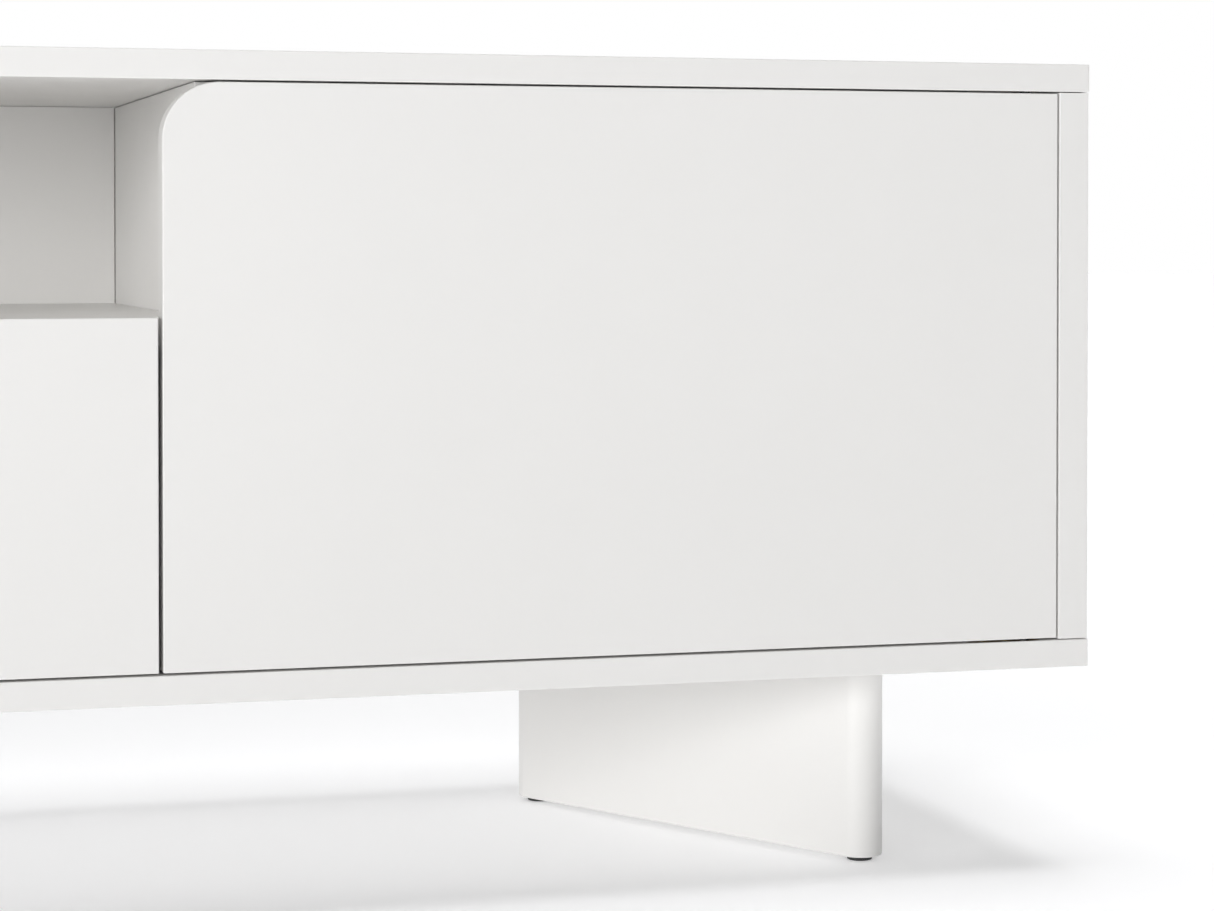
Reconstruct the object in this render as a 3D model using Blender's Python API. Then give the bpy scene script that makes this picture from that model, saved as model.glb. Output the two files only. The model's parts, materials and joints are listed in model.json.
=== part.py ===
"""Low TV stand: two hinged doors, an open niche over a drawer, and two slab legs.

Metres, +Z up, the front faces -Y. The origin is on the floor under the middle of the stand.
"left" is the -X side and "right" the +X side, as seen from the front.
"""

from math import cos, pi, radians, sin

import bmesh
import bpy
from mathutils import Matrix, Vector

# ---------------------------------------------------------------- driving dimensions

WIDTH = 1.800           # over the ends of the top and bottom boards
DEPTH = 0.420           # front faces to rear edges
BODY_HEIGHT = 0.394     # underside of the bottom board to the top
LEG_HEIGHT = 0.1345     # floor to the underside of the bottom board, glides included

BOARD = 0.018           # top, bottom, partitions, niche floor, fronts
SIDE_BOARD = 0.0205     # the two end boards
END_INSET = 0.0006      # the end boards stand this far inside the top board's ends
BACK_BOARD = 0.008
BACK_INSET = 0.0044     # back board to the rear plane
EDGE_ROUND = 0.0006     # broken edges of the carcass boards
FRONT_ROUND = 0.0008    # rounder edges of the doors and the drawer front
TOUCH = 0.0003          # gap left between pieces that bear on each other

NICHE_HEIGHT = 0.1429   # clear height of the niche
PARTITION_FACE = 0.3166  # middle of the stand to a partition's niche face

DRAWER_FRONT_HALF = 0.2918   # half the width of the drawer front
DOOR_FREE_EDGE = 0.2944      # middle of the stand to a door's free edge
GAP_TOP = 0.0012        # over the doors
GAP_SIDE = 0.0013       # between a door and its end board
GAP_BOTTOM = 0.0014     # under the doors and the drawer front
FRONT_CLEARANCE = 0.002  # behind the closed fronts
DOOR_CORNER = 0.035     # radius of a door's upper free corner

PIVOT_INSET = 0.020     # pivot axis to the door's hinge edge
PIVOT_SETBACK = 0.007   # pivot axis to the door's front face
PIN_RADIUS = 0.003
PIN_PLAY = 0.00005      # radial running clearance of the pin in its bush
LEAF_LENGTH = 0.052
LEAF_WIDTH = 0.010
LEAF_THICKNESS = 0.0025
BUSH_RADIUS = 0.0055
BUSH_DEPTH = 0.010      # bush, measured from the board's face
BUSH_BORE_DEPTH = 0.0085
PIN_REACH = 0.0075      # pin length inside the bush

LEG_TURN = radians(29.5)     # each leg is turned this far from the depth axis
LEG_THICKNESS = 0.030
LEG_HALF_SPAN = 0.153   # leg centre to the centre of a round end
LEG_X = 0.6945          # middle of the stand to the leg's centre
GLIDE_RADIUS = 0.0085
GLIDE_HEIGHT = 0.003
BOLT_HALF_SPAN = 0.095  # leg centre to each leg bolt
BOLT_RADIUS = 0.004
BOLT_HEAD_RADIUS = 0.0065
BOLT_HEAD_HEIGHT = 0.0042
BOLT_GRIP = 0.045       # bolt length inside the leg

SHELF_THICKNESS = 0.016
SHELF_FRONT = 0.050     # front faces to a shelf's front edge, behind the swing of the door's hinge edge
SHELF_TOP = 0.342       # above the floor
SHELF_PLAY = 0.001      # at each end of a shelf
SHELF_PIN_RADIUS = 0.0025
SHELF_PIN_FLANGE = 0.004
SHELF_PIN_SINK = 0.009  # pin length inside the board
SHELF_PIN_REACH = 0.010  # pin length under the shelf
SHELF_PIN_INSET = 0.045  # shelf's front and rear edges to the pins
PIN_HOLE_PITCH = 0.032  # spacing of the shelf pin holes above each other
PIN_HOLE_SPARES = 2     # spare holes above each pin, and as many below it

CATCH_HEIGHT = 0.300    # magnet's height above the floor
MAGNET_RADIUS = 0.005
MAGNET_SINK = 0.010
STRIKE_RADIUS = 0.007
STRIKE_THICKNESS = 0.0015
BUMPER_RADIUS = 0.004
BUMPER_HEIGHT = 0.200   # door bumpers above the floor
DRAWER_BUMPER_X = 0.240  # middle of the stand to each drawer bumper

DRAWER_SIDE = 0.012     # thickness of the drawer's sides and back
DRAWER_BOX_HALF = 0.280  # middle of the stand to a drawer side's outer face
DRAWER_BOX_LENGTH = 0.340
DRAWER_BOX_FLOOR = 0.170     # lower edge of the drawer's sides, above the floor
DRAWER_BOX_HEIGHT = 0.140
DRAWER_BOTTOM = 0.006
DRAWER_BOTTOM_RAISE = 0.012  # lower edge of the sides to the drawer bottom
GROOVE = 0.005          # depth of the grooves that hold the drawer bottom
RAIL_HEIGHT = 0.044
RAIL_GAUGE = 0.0015
RAIL_DEPTH = 0.0115     # drawer side to the back of the cabinet rail
RAIL_LENGTH = 0.340
RAIL_LEVEL = 0.240      # centre line of the runners above the floor
PACKING_HEIGHT = 0.060

CABLE_HOLE_RADIUS = 0.030
CABLE_HOLE_HEIGHT = 0.420

# ---------------------------------------------------------------- places that follow from them

BODY_FLOOR = LEG_HEIGHT
TOP = BODY_FLOOR + BODY_HEIGHT
INNER_FLOOR = BODY_FLOOR + BOARD
INNER_CEILING = TOP - BOARD
FRONT = -DEPTH / 2
FRONT_BACK = FRONT + BOARD                  # rear faces of the doors and the drawer front
INNER_FRONT = FRONT_BACK + FRONT_CLEARANCE  # front edges of partitions and niche floor
REAR = DEPTH / 2
BACK_FACE = REAR - BACK_INSET - BACK_BOARD
NICHE_FLOOR = INNER_CEILING - NICHE_HEIGHT
SIDE_OUTER = WIDTH / 2 - END_INSET
SIDE_INNER = SIDE_OUTER - SIDE_BOARD
PARTITION_BAY_FACE = PARTITION_FACE + BOARD
DOOR_HINGE_EDGE = SIDE_INNER - GAP_SIDE
FRONTS_FLOOR = INNER_FLOOR + GAP_BOTTOM
DOOR_TOP = INNER_CEILING - GAP_TOP
PIVOT_X = DOOR_HINGE_EDGE - PIVOT_INSET
PIVOT_Y = FRONT + PIVOT_SETBACK
CATCH_X = PARTITION_FACE + BOARD / 2
SHELF_REAR = BACK_FACE - 0.003
SHELF_FRONT_Y = FRONT + SHELF_FRONT
RAIL_FRONT = INNER_FRONT + 0.004
DRAWER_BOX_TOP = DRAWER_BOX_FLOOR + DRAWER_BOX_HEIGHT
DRAWER_BOX_REAR = FRONT_BACK + TOUCH + DRAWER_BOX_LENGTH
CABINET_RAIL_BACK = DRAWER_BOX_HALF + TOUCH + RAIL_DEPTH

SIDES = {"left": -1, "right": 1}

PIVOT_STEPS = 32        # facets of the pivot pins and the bores they turn in
ROUND_STEPS = 20        # facets of glides, magnets, bolts and their holes
SMALL_STEPS = 12        # facets of shelf pins and their holes
HOLE_STEPS = 32         # facets of the cable hole


# ---------------------------------------------------------------- scene and materials

def clear_scene():
    for obj in list(bpy.data.objects):
        bpy.data.objects.remove(obj, do_unlink=True)


def principled(name, color, roughness, metallic=0.0):
    material = bpy.data.materials.new(name)
    material.use_nodes = True
    shader = material.node_tree.nodes["Principled BSDF"]
    shader.inputs["Base Color"].default_value = (*color, 1.0)
    shader.inputs["Roughness"].default_value = roughness
    shader.inputs["Metallic"].default_value = metallic
    material.diffuse_color = (*color, 1.0)
    return material


WHITE = (0.84, 0.84, 0.83)
STEEL = (0.62, 0.62, 0.63)
BLACK = (0.03, 0.03, 0.03)

LOOKS = {
    "lacquer": (WHITE, 0.35, 0.0),
    "shelf_board": ((0.82, 0.82, 0.81), 0.5, 0.0),
    "steel": (STEEL, 0.3, 1.0),
    "black_steel": ((0.05, 0.05, 0.055), 0.4, 1.0),
    "brass": ((0.72, 0.55, 0.28), 0.35, 1.0),
    "magnet": ((0.45, 0.45, 0.47), 0.25, 1.0),
    "glide": (BLACK, 0.6, 0.0),
    "bumper": ((0.80, 0.81, 0.82), 0.3, 0.0),
}


def own_material(name, look):
    """Each sub-part has its own material, so that one can be changed alone."""
    color, roughness, metallic = LOOKS[look]
    return principled(name + "_" + look, color, roughness, metallic)


# ---------------------------------------------------------------- shape helpers

def finish_mesh(name, bm, place=(0, 0, 0), look=None, smooth=False):
    """Turn a bmesh into a linked object at its place, with its own material."""
    bmesh.ops.recalc_face_normals(bm, faces=bm.faces)
    mesh = bpy.data.meshes.new(name)
    bm.to_mesh(mesh)
    bm.free()
    if smooth:
        mesh.shade_smooth()
        mesh.set_sharp_from_angle(angle=radians(35))
    obj = bpy.data.objects.new(name, mesh)
    obj.location = place
    bpy.context.scene.collection.objects.link(obj)
    if look:
        mesh.materials.append(own_material(name, look))
    return obj


def box_mesh(low, high):
    """A closed box between two corners, built around its own centre; returns the mesh and centre."""
    low, high = Vector(low), Vector(high)
    bm = bmesh.new()
    bmesh.ops.create_cube(bm, size=1.0)
    bmesh.ops.scale(bm, vec=high - low, verts=bm.verts)
    return bm, (low + high) / 2


def board(name, low, high, look="lacquer", edge=EDGE_ROUND):
    bm, centre = box_mesh(low, high)
    obj = finish_mesh(name, bm, centre, look)
    if edge:
        break_edges(obj, edge)
    return obj


def break_edges(obj, width, segments=1):
    bevel = obj.modifiers.new("broken_edges", "BEVEL")
    bevel.width = width
    bevel.segments = segments
    bevel.limit_method = "ANGLE"
    bevel.angle_limit = radians(40)
    return bevel


def add_cylinder(bm, radius, start, end, axis="Z", centre=(0, 0), steps=ROUND_STEPS):
    """Add a closed cylinder from start to end along an axis, centred on the other two coordinates."""
    turn = {"X": Matrix.Rotation(pi / 2, 4, "Y"), "Y": Matrix.Rotation(-pi / 2, 4, "X"),
            "Z": Matrix.Identity(4)}[axis]
    middle = (start + end) / 2
    a, b = centre
    place = {"X": (middle, a, b), "Y": (a, middle, b), "Z": (a, b, middle)}[axis]
    bmesh.ops.create_cone(bm, cap_ends=True, segments=steps, radius1=radius, radius2=radius,
                          depth=abs(end - start), matrix=Matrix.Translation(place) @ turn)


def turned(name, profile, place, look, axis="Z", steps=ROUND_STEPS):
    """A round piece spun from (radius, height) points; the first and last points lie on the axis."""
    bm = bmesh.new()
    verts = [bm.verts.new((r, 0, z)) for r, z in profile]
    edges = [bm.edges.new(pair) for pair in zip(verts, verts[1:])]
    bmesh.ops.spin(bm, geom=verts + edges, cent=(0, 0, 0), axis=(0, 0, 1), angle=2 * pi,
                   steps=steps, use_duplicate=False)
    bmesh.ops.remove_doubles(bm, verts=bm.verts, dist=1e-6)
    turn = {"X": Matrix.Rotation(pi / 2, 4, "Y"), "-X": Matrix.Rotation(-pi / 2, 4, "Y"),
            "Y": Matrix.Rotation(-pi / 2, 4, "X"), "-Y": Matrix.Rotation(pi / 2, 4, "X"),
            "Z": Matrix.Identity(4), "-Z": Matrix.Rotation(pi, 4, "X")}[axis]
    bmesh.ops.transform(bm, matrix=turn, verts=bm.verts)
    return finish_mesh(name, bm, place, look, smooth=True)


def extruded(name, outline, height, place, look, edge=0.0):
    """A plate from a closed outline of (x, y) points, raised along its own +Z."""
    bm = bmesh.new()
    face = bm.faces.new([bm.verts.new((x, y, 0)) for x, y in outline])
    raised = bmesh.ops.extrude_face_region(bm, geom=[face])
    lifted = [item for item in raised["geom"] if isinstance(item, bmesh.types.BMVert)]
    bmesh.ops.translate(bm, vec=(0, 0, height), verts=lifted)
    obj = finish_mesh(name, bm, place, look)
    if edge:
        break_edges(obj, edge)
    return obj


def arc(centre, radius, start, end, steps):
    """Points on an arc, both ends included; angles in radians."""
    cx, cy = centre
    turns = [start + (end - start) * i / steps for i in range(steps + 1)]
    return [(cx + radius * cos(a), cy + radius * sin(a)) for a in turns]


def slot_outline(half_span, radius, steps=12):
    """A straight slot with round ends, lying along X."""
    return (arc((half_span, 0), radius, -pi / 2, pi / 2, steps)
            + arc((-half_span, 0), radius, pi / 2, 3 * pi / 2, steps))


def as_cutter(obj):
    obj.hide_render = True
    obj.display_type = "WIRE"
    return obj


def boolean(target, tool, operation):
    step = target.modifiers.new(operation.lower(), "BOOLEAN")
    step.operation = operation
    step.solver = "EXACT"
    step.object = as_cutter(tool)


def cut_box(target, low, high):
    bm, centre = box_mesh(low, high)
    boolean(target, finish_mesh(target.name + "_cut", bm, centre), "DIFFERENCE")


def cut_cylinder(target, radius, start, end, axis, centre, steps=ROUND_STEPS):
    bm = bmesh.new()
    add_cylinder(bm, radius, start, end, axis, centre, steps)
    boolean(target, finish_mesh(target.name + "_bore", bm), "DIFFERENCE")


def keep_place(child, parent):
    """Parent a piece to an empty without moving it."""
    child.parent = parent
    child.matrix_parent_inverse = Matrix.Translation(parent.location).inverted()


def joint_empty(name, place):
    empty = bpy.data.objects.new(name, None)
    empty.location = place
    empty.empty_display_size = 0.05
    bpy.context.scene.collection.objects.link(empty)
    return empty


# ---------------------------------------------------------------- carcass

def make_boards():
    boards = {
        "top_panel": board("top_panel", (-WIDTH / 2, FRONT, INNER_CEILING), (WIDTH / 2, REAR, TOP)),
        "bottom_panel": board("bottom_panel", (-WIDTH / 2, FRONT, BODY_FLOOR),
                              (WIDTH / 2, REAR, INNER_FLOOR)),
        "niche_shelf": board("niche_shelf",
                             (-PARTITION_FACE + TOUCH, INNER_FRONT, NICHE_FLOOR - BOARD),
                             (PARTITION_FACE - TOUCH, BACK_FACE - TOUCH, NICHE_FLOOR)),
    }
    z0, z1 = INNER_FLOOR + TOUCH, INNER_CEILING - TOUCH
    for side, sign in SIDES.items():
        x0, x1 = sorted((sign * SIDE_INNER, sign * SIDE_OUTER))
        boards["side_panel_" + side] = board("side_panel_" + side, (x0, FRONT, z0), (x1, REAR, z1))
        x0, x1 = sorted((sign * PARTITION_FACE, sign * PARTITION_BAY_FACE))
        boards["partition_" + side] = board("partition_" + side, (x0, INNER_FRONT, z0),
                                            (x1, BACK_FACE - TOUCH, z1))
    back = board("back_panel", (-SIDE_INNER + TOUCH, BACK_FACE, z0),
                 (SIDE_INNER - TOUCH, BACK_FACE + BACK_BOARD, z1), edge=0.0)
    cut_cylinder(back, CABLE_HOLE_RADIUS, BACK_FACE - 0.01, REAR, "Y", (0, CABLE_HOLE_HEIGHT), HOLE_STEPS)
    boards["back_panel"] = back
    for side, sign in SIDES.items():
        place = (sign * DRAWER_BUMPER_X, INNER_FRONT - TOUCH, NICHE_FLOOR - BOARD / 2)
        make_bumper("drawer_bumper_" + side, place)
    return boards


def make_bumper(name, place):
    """A soft pad that a closed front meets, on the front edge of the board behind it."""
    pad = FRONT_CLEARANCE - 2 * TOUCH
    profile = [(0, 0), (BUMPER_RADIUS, 0), (BUMPER_RADIUS - 0.0006, pad), (0, pad)]
    turned(name, profile, place, "bumper", "-Y", SMALL_STEPS)


def make_shelf(side, sign, boards):
    """A loose shelf on four pins, two in the end board and two in the partition."""
    x0, x1 = sorted((sign * (PARTITION_BAY_FACE + SHELF_PLAY), sign * (SIDE_INNER - SHELF_PLAY)))
    z0 = SHELF_TOP - SHELF_THICKNESS
    board("adjustable_shelf_" + side, (x0, SHELF_FRONT_Y, z0), (x1, SHELF_REAR, SHELF_TOP), "shelf_board")
    pin_z = z0 - TOUCH - SHELF_PIN_FLANGE
    walls = {"inner": (PARTITION_BAY_FACE, 1, "partition_"), "outer": (SIDE_INNER, -1, "side_panel_")}
    rows = {"front": SHELF_FRONT_Y + SHELF_PIN_INSET, "rear": SHELF_REAR - SHELF_PIN_INSET}
    levels = [pin_z + PIN_HOLE_PITCH * step for step in range(-PIN_HOLE_SPARES, PIN_HOLE_SPARES + 1)]
    for wall, (face, inward, panel) in walls.items():
        direction = sign * inward
        start, end = sorted((sign * face - direction * (SHELF_PIN_SINK + 0.001),
                             sign * face + direction * 0.005))
        holes = bmesh.new()
        for row, y in rows.items():
            make_shelf_pin(f"shelf_pin_{side}_{wall}_{row}", (sign * face, y, pin_z), direction)
            for z in levels:
                add_cylinder(holes, SHELF_PIN_RADIUS + 2 * TOUCH, start, end, "X", (y, z), SMALL_STEPS)
        cutter = finish_mesh(panel + side + "_pin_holes", holes)
        boolean(boards[panel + side], cutter, "DIFFERENCE")


def make_shelf_pin(name, place, direction):
    """A pin with a round stop flange against the board's face; it points out of the board along +-X."""
    r, flange = SHELF_PIN_RADIUS, SHELF_PIN_FLANGE
    profile = [(0, -SHELF_PIN_SINK), (r, -SHELF_PIN_SINK), (r, TOUCH), (flange, TOUCH),
               (flange, SHELF_PIN_REACH - 0.0005), (flange - 0.0005, SHELF_PIN_REACH), (0, SHELF_PIN_REACH)]
    turned(name, profile, place, "steel", "X" if direction > 0 else "-X", SMALL_STEPS)


# ---------------------------------------------------------------- legs

def leg_frame(sign):
    """The leg's centre on the floor and its turn about +Z; the two legs mirror each other."""
    return Vector((sign * LEG_X, 0, 0)), sign * (-pi / 2 + LEG_TURN)


def make_leg(side, sign, bottom_panel):
    centre, turn = leg_frame(sign)
    top = BODY_FLOOR - TOUCH
    foot = GLIDE_HEIGHT + TOUCH
    leg = extruded("leg_" + side, slot_outline(LEG_HALF_SPAN, LEG_THICKNESS / 2, 12), top - foot,
                   centre + Vector((0, 0, foot)), "lacquer", FRONT_ROUND)
    leg.rotation_euler.z = turn
    along = Vector((cos(turn), sin(turn), 0))
    if along.y > 0:
        along = -along
    for end, step in {"front": 1, "rear": -1}.items():
        glide = centre + along * LEG_HALF_SPAN * step
        make_glide(f"glide_{side}_{end}", glide)
        cut_cylinder(leg, 0.002 + TOUCH, 0.0, GLIDE_HEIGHT + 0.0135, "Z", (glide.x, glide.y), SMALL_STEPS)
        bolt = centre + along * BOLT_HALF_SPAN * step
        make_leg_bolt(f"leg_bolt_{side}_{end}", bolt)
        cut_cylinder(leg, BOLT_RADIUS + TOUCH, top - BOLT_GRIP - 0.002, top + 0.01, "Z", (bolt.x, bolt.y))
        cut_cylinder(bottom_panel, BOLT_RADIUS + TOUCH, BODY_FLOOR - 0.01, INNER_FLOOR + 0.01, "Z",
                     (bolt.x, bolt.y))
        cut_cylinder(bottom_panel, BOLT_HEAD_RADIUS + 0.001, INNER_FLOOR - BOLT_HEAD_HEIGHT - 2 * TOUCH,
                     INNER_FLOOR + 0.02, "Z", (bolt.x, bolt.y))


def make_glide(name, place):
    """A round floor glide with a short stem up into the leg."""
    r = GLIDE_RADIUS
    profile = [(0, 0), (r - 0.0012, 0), (r, 0.0012), (r, GLIDE_HEIGHT), (0.002, GLIDE_HEIGHT),
               (0.002, GLIDE_HEIGHT + 0.0125), (0, GLIDE_HEIGHT + 0.013)]
    turned(name, profile, place, "glide")


def make_leg_bolt(name, place):
    """A cap-head bolt from inside the bay, through the bottom board and down into the leg."""
    head_foot = INNER_FLOOR - BOLT_HEAD_HEIGHT - TOUCH
    tip = BODY_FLOOR - TOUCH - BOLT_GRIP
    head_top = head_foot + BOLT_HEAD_HEIGHT
    hr, r = BOLT_HEAD_RADIUS, BOLT_RADIUS
    profile = [(0, tip), (r - 0.001, tip), (r, tip + 0.001), (r, head_foot), (hr, head_foot),
               (hr, head_top - 0.0008), (hr - 0.0008, head_top), (0.0028, head_top),
               (0.0028, head_top - 0.0025), (0, head_top - 0.0025)]
    turned(name, profile, (place.x, place.y, 0), "steel")


# ---------------------------------------------------------------- doors

def door_outline(width, height):
    """Front view of the right door from its hinge edge at x = 0 to its free edge at x = -width."""
    r = DOOR_CORNER
    return [(0, 0), (0, height)] + arc((-width + r, height - r), r, pi / 2, pi, 14) + [(-width, 0)]


def make_door(side, sign, boards):
    width = DOOR_HINGE_EDGE - DOOR_FREE_EDGE
    height = DOOR_TOP - FRONTS_FLOOR
    outline = [(sign * x, z) for x, z in door_outline(width, height)]
    if sign < 0:
        outline.reverse()
    hinge = joint_empty(side + "_door_pivot", (sign * PIVOT_X, PIVOT_Y, FRONTS_FLOOR))
    door = extruded("door_" + side, outline, BOARD, (sign * DOOR_HINGE_EDGE, FRONT_BACK, FRONTS_FLOOR),
                    "lacquer", FRONT_ROUND)
    door.rotation_euler.x = pi / 2
    keep_place(door, hinge)
    for level in ("top", "bottom"):
        panel = boards["top_panel" if level == "top" else "bottom_panel"]
        up = 1 if level == "top" else -1
        face = DOOR_TOP if level == "top" else FRONTS_FLOOR
        panel_face = INNER_CEILING if level == "top" else INNER_FLOOR
        leaf = make_pivot_leaf(f"pivot_leaf_{side}_{level}", sign, face, panel_face, up)
        keep_place(leaf, hinge)
        cut_slot(door, sign, face - up * (LEAF_THICKNESS + 2 * TOUCH), face + up * 0.01)
        make_pivot_socket(f"pivot_socket_{side}_{level}", sign, panel_face, up)
        cut_slot(panel, sign, panel_face - up * 0.01, panel_face + up * (LEAF_THICKNESS + 2 * TOUCH))
        start, end = sorted((panel_face - up * 0.01, panel_face + up * (BUSH_DEPTH + 2 * TOUCH)))
        cut_cylinder(panel, BUSH_RADIUS + TOUCH, start, end, "Z", (sign * PIVOT_X, PIVOT_Y))
    keep_place(make_catch(side, sign, boards["partition_" + side], door), hinge)


def slot_plate(bm, sign, z0, z1, grow=0.0):
    """A round-ended plate around the pivot, reaching from near the hinge edge in over the door."""
    z0, z1 = sorted((z0, z1))
    radius = LEAF_WIDTH / 2 + grow
    start = sign * PIVOT_X + sign * 0.006
    end = start - sign * (LEAF_LENGTH - LEAF_WIDTH)
    half = abs(start - end) / 2
    outline = slot_outline(half, radius, 10)
    middle = (start + end) / 2
    face = bm.faces.new([bm.verts.new((middle + x, PIVOT_Y + y, z0)) for x, y in outline])
    raised = bmesh.ops.extrude_face_region(bm, geom=[face])
    lifted = [item for item in raised["geom"] if isinstance(item, bmesh.types.BMVert)]
    bmesh.ops.translate(bm, vec=(0, 0, z1 - z0), verts=lifted)


def cut_slot(target, sign, z0, z1):
    bm = bmesh.new()
    slot_plate(bm, sign, z0, z1, grow=TOUCH)
    boolean(target, finish_mesh(target.name + "_mortise", bm), "DIFFERENCE")


def make_pivot_leaf(name, sign, face, panel_face, up):
    """The door's leaf, flush in its edge, with the pin that stands out into the bush."""
    bm = bmesh.new()
    slot_plate(bm, sign, face - up * (LEAF_THICKNESS + TOUCH), face - up * TOUCH)
    leaf = finish_mesh(name, bm, look="black_steel")
    pin = bmesh.new()
    start, end = sorted((face - up * (TOUCH + 0.001), panel_face + up * PIN_REACH))
    add_cylinder(pin, PIN_RADIUS, start, end, "Z", (sign * PIVOT_X, PIVOT_Y), PIVOT_STEPS)
    boolean(leaf, finish_mesh(name + "_pin", pin), "UNION")
    return leaf


def make_pivot_socket(name, sign, panel_face, up):
    """The carcass plate, flush in the board, with the bush that the pin turns in."""
    bm = bmesh.new()
    slot_plate(bm, sign, panel_face + up * TOUCH, panel_face + up * (LEAF_THICKNESS + TOUCH))
    socket = finish_mesh(name, bm, look="brass")
    bush = bmesh.new()
    start, end = sorted((panel_face + up * 0.001, panel_face + up * BUSH_DEPTH))
    add_cylinder(bush, BUSH_RADIUS, start, end, "Z", (sign * PIVOT_X, PIVOT_Y))
    boolean(socket, finish_mesh(name + "_bush", bush), "UNION")
    start, end = sorted((panel_face - up * 0.005, panel_face + up * BUSH_BORE_DEPTH))
    cut_cylinder(socket, PIN_RADIUS + PIN_PLAY, start, end, "Z", (sign * PIVOT_X, PIVOT_Y), PIVOT_STEPS)


def make_catch(side, sign, partition, door):
    """A magnet in the partition's front edge, its strike disc in the door, and a bumper pad."""
    x = sign * CATCH_X
    magnet_face = FRONT_BACK + TOUCH
    reach = INNER_FRONT - magnet_face
    sink = MAGNET_SINK
    profile = [(0, -sink), (MAGNET_RADIUS, -sink), (MAGNET_RADIUS, reach - 0.0004),
               (MAGNET_RADIUS - 0.0004, reach), (0, reach)]
    turned("catch_magnet_" + side, profile, (x, INNER_FRONT, CATCH_HEIGHT), "magnet", "-Y")
    cut_cylinder(partition, MAGNET_RADIUS + TOUCH, INNER_FRONT - 0.01, INNER_FRONT + sink + TOUCH, "Y",
                 (x, CATCH_HEIGHT))
    make_bumper("door_bumper_" + side, (x, INNER_FRONT - TOUCH, BUMPER_HEIGHT))
    cut_cylinder(door, STRIKE_RADIUS + TOUCH, FRONT_BACK - STRIKE_THICKNESS - TOUCH, FRONT_BACK + 0.01,
                 "Y", (x, CATCH_HEIGHT))
    profile = [(0, 0), (STRIKE_RADIUS, 0), (STRIKE_RADIUS, STRIKE_THICKNESS), (0, STRIKE_THICKNESS)]
    return turned("strike_plate_" + side, profile, (x, FRONT_BACK, CATCH_HEIGHT), "steel", "-Y")


# ---------------------------------------------------------------- drawer and runners

def make_drawer():
    slide = joint_empty("drawer_slide", (0, FRONT, FRONTS_FLOOR))
    inner = DRAWER_BOX_HALF - DRAWER_SIDE
    box_front = FRONT_BACK + TOUCH
    bottom_z0 = DRAWER_BOX_FLOOR + DRAWER_BOTTOM_RAISE
    bottom_z1 = bottom_z0 + DRAWER_BOTTOM
    groove_z = (bottom_z0 - TOUCH, bottom_z1 + TOUCH)
    groove_half = inner + GROOVE

    front = board("drawer_front", (-DRAWER_FRONT_HALF, FRONT, FRONTS_FLOOR),
                  (DRAWER_FRONT_HALF, FRONT_BACK, NICHE_FLOOR), edge=FRONT_ROUND)
    cut_box(front, (-inner, FRONT_BACK - GROOVE, groove_z[0]), (inner, FRONT_BACK + 0.01, groove_z[1]))
    keep_place(front, slide)

    for side, sign in SIDES.items():
        x0, x1 = sorted((sign * inner, sign * DRAWER_BOX_HALF))
        wall = board("drawer_side_" + side, (x0, box_front, DRAWER_BOX_FLOOR),
                     (x1, DRAWER_BOX_REAR, DRAWER_BOX_TOP))
        g0, g1 = sorted((sign * (inner - 0.01), sign * groove_half))
        cut_box(wall, (g0, box_front - 0.01, groove_z[0]), (g1, DRAWER_BOX_REAR - 0.006, groove_z[1]))
        keep_place(wall, slide)

    back = board("drawer_back", (-inner + TOUCH, DRAWER_BOX_REAR - DRAWER_SIDE, bottom_z0 - 0.008),
                 (inner - TOUCH, DRAWER_BOX_REAR, DRAWER_BOX_TOP - 0.010))
    rear_groove = DRAWER_BOX_REAR - DRAWER_SIDE + GROOVE
    cut_box(back, (-DRAWER_BOX_HALF, rear_groove - 0.02, groove_z[0]),
            (DRAWER_BOX_HALF, rear_groove, groove_z[1]))
    keep_place(back, slide)

    bottom = board("drawer_bottom", (-groove_half + TOUCH, FRONT_BACK - GROOVE + TOUCH, bottom_z0),
                   (groove_half - TOUCH, rear_groove - TOUCH, bottom_z1), "shelf_board", edge=0.0)
    # The front's groove is only as wide as the drawer inside, so the bottom's front corners are notched.
    for sign in SIDES.values():
        x0, x1 = sorted((sign * (inner - TOUCH), sign * (groove_half + 0.01)))
        cut_box(bottom, (x0, FRONT_BACK - 0.02, bottom_z0 - 0.01), (x1, box_front, bottom_z1 + 0.01))
    keep_place(bottom, slide)

    for side, sign in SIDES.items():
        keep_place(make_runner(side, sign), slide)


def channel_outline(sign, web_x, flange_x, half_height):
    """Cross-section of a C rail in (x, z): a web at web_x with two flanges that reach to flange_x."""
    g = RAIL_GAUGE
    h = half_height
    inward = 1 if flange_x > web_x else -1
    points = [(web_x, -h), (flange_x, -h), (flange_x, -h + g), (web_x + inward * g, -h + g),
              (web_x + inward * g, h - g), (flange_x, h - g), (flange_x, h), (web_x, h)]
    return [(sign * x, z) for x, z in points]


def rail(name, outline, y0, y1, look):
    """A straight rail of constant (x, z) section from y0 to y1."""
    bm = bmesh.new()
    face = bm.faces.new([bm.verts.new((x, y0, RAIL_LEVEL + z)) for x, z in outline])
    raised = bmesh.ops.extrude_face_region(bm, geom=[face])
    lifted = [item for item in raised["geom"] if isinstance(item, bmesh.types.BMVert)]
    bmesh.ops.translate(bm, vec=(0, y1 - y0, 0), verts=lifted)
    return finish_mesh(name, bm, look=look)


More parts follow.
